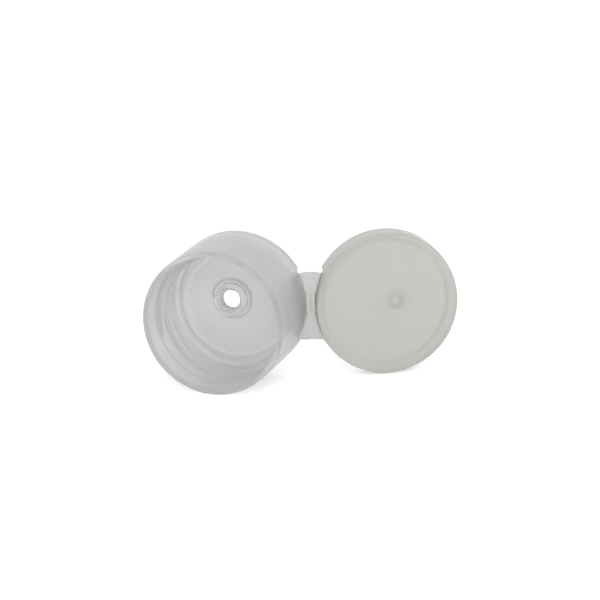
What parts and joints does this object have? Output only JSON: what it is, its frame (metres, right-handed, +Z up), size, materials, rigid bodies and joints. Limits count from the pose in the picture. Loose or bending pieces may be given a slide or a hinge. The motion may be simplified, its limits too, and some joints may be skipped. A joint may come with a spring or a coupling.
{
  "type": "flip-top screw cap",
  "caption": "Translucent one-shot moulded flip-top screw cap: threaded skirt with a nozzle orifice in its deck, and a snap lid on a living hinge, shown open.",
  "frame": {"origin": "centre of the mouth, where the thread axis meets the rim's plane", "axes": "-Y along the thread axis, out of the mouth; +X towards the open lid; +Z up, along the upright living hinge, with the cap lying on its side as it rests on a table"},
  "size_m": [0.0518, 0.0289, 0.0266],
  "materials": {
    "natural_pp": "translucent natural polypropylene, satin",
    "natural_pp_lid": "translucent natural polypropylene, satin"
  },
  "bodies": {
    "base": {"screw_base": "natural_pp"},
    "lid": {"flip_lid": "natural_pp_lid"}
  },
  "joints": [
    {"name": "lid_hinge", "type": "hinge", "parent": "base", "child": "lid", "pos_m": [0.0135, 0.016, 0], "axis": [0, 0, 1], "range_deg": [-29, 151]}
  ]
}
